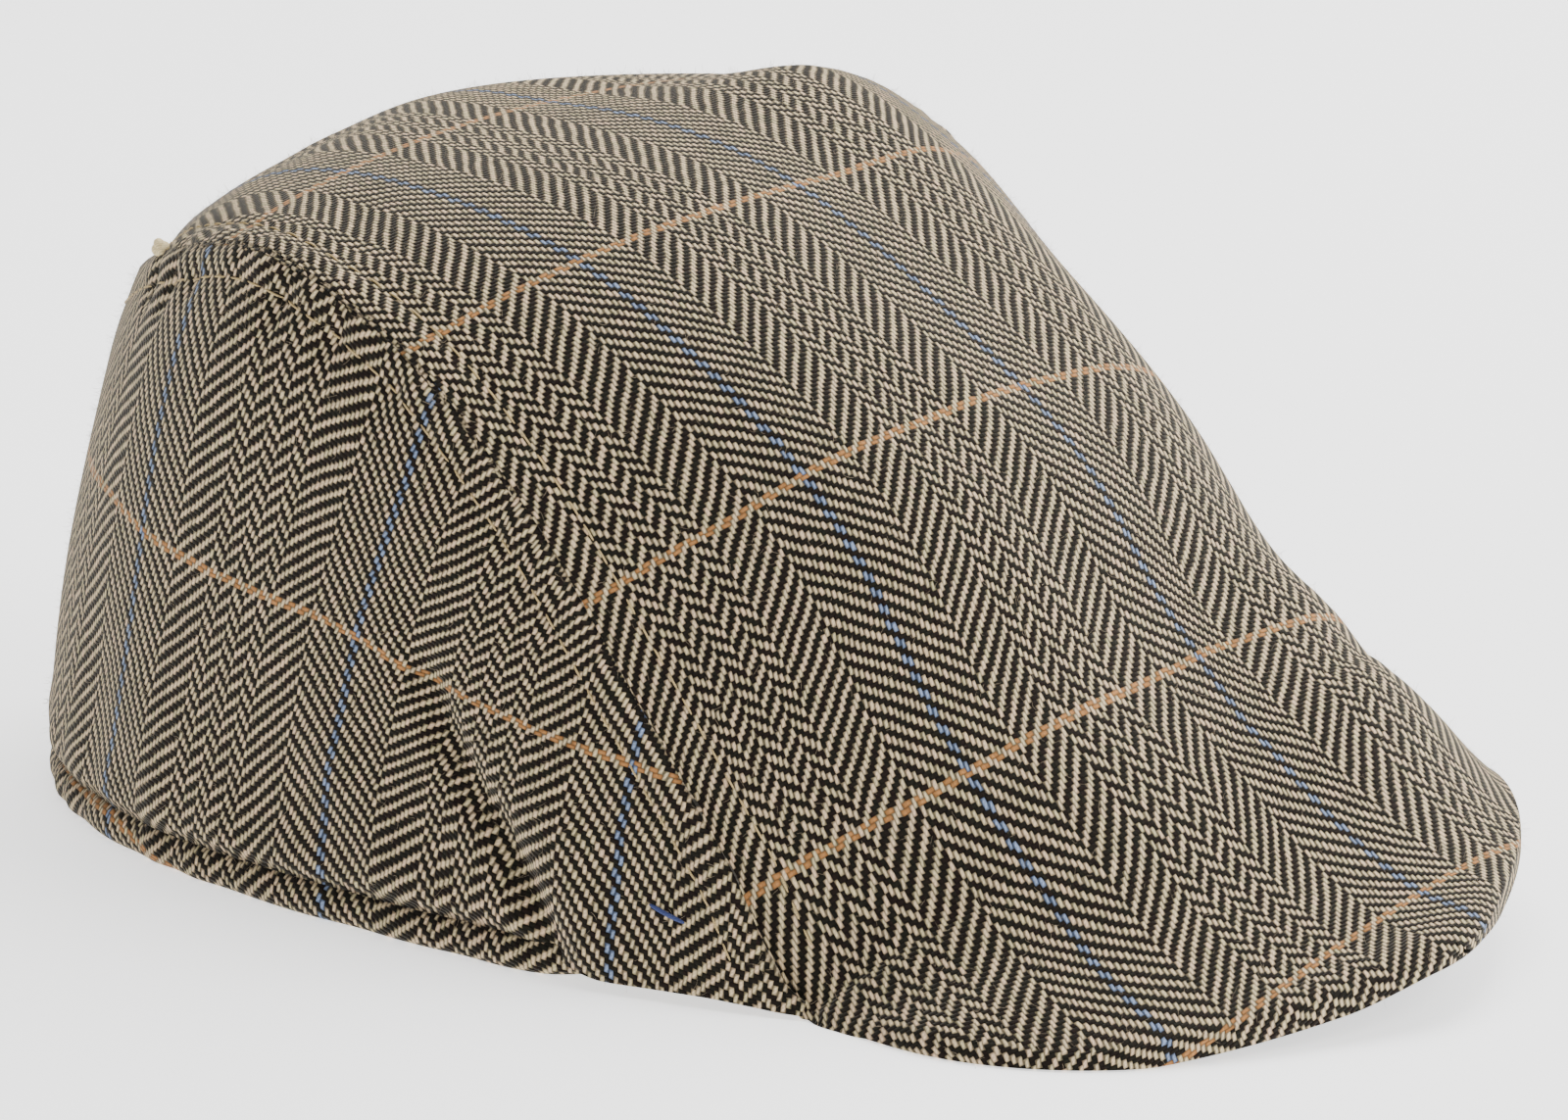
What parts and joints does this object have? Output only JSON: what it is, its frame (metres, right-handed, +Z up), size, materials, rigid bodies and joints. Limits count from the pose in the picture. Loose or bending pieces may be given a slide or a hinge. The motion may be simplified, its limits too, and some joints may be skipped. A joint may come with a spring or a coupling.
{
  "type": "flat cap",
  "caption": "Tweed flat cap with a duckbill peak, standing on its rim: a long top panel, two side panels, a hem band and a stiff peak.",
  "frame": {"origin": "middle of the bounding box, on the surface that the cap stands on", "axes": "+X to the wearer's left, -Y to the front where the peak points, +Z up"},
  "size_m": [0.1662, 0.2706, 0.1182],
  "materials": {
    "tweed": "soft herringbone wool tweed in cream and dark brown, with a windowpane of tan and blue",
    "undercloth": "plain dark cloth under the peak"
  },
  "bodies": {
    "root": {"top_panel": "tweed", "side_panel_left": "tweed", "side_panel_right": "tweed", "hem_band": "tweed", "peak": "undercloth"}
  },
  "joints": []
}
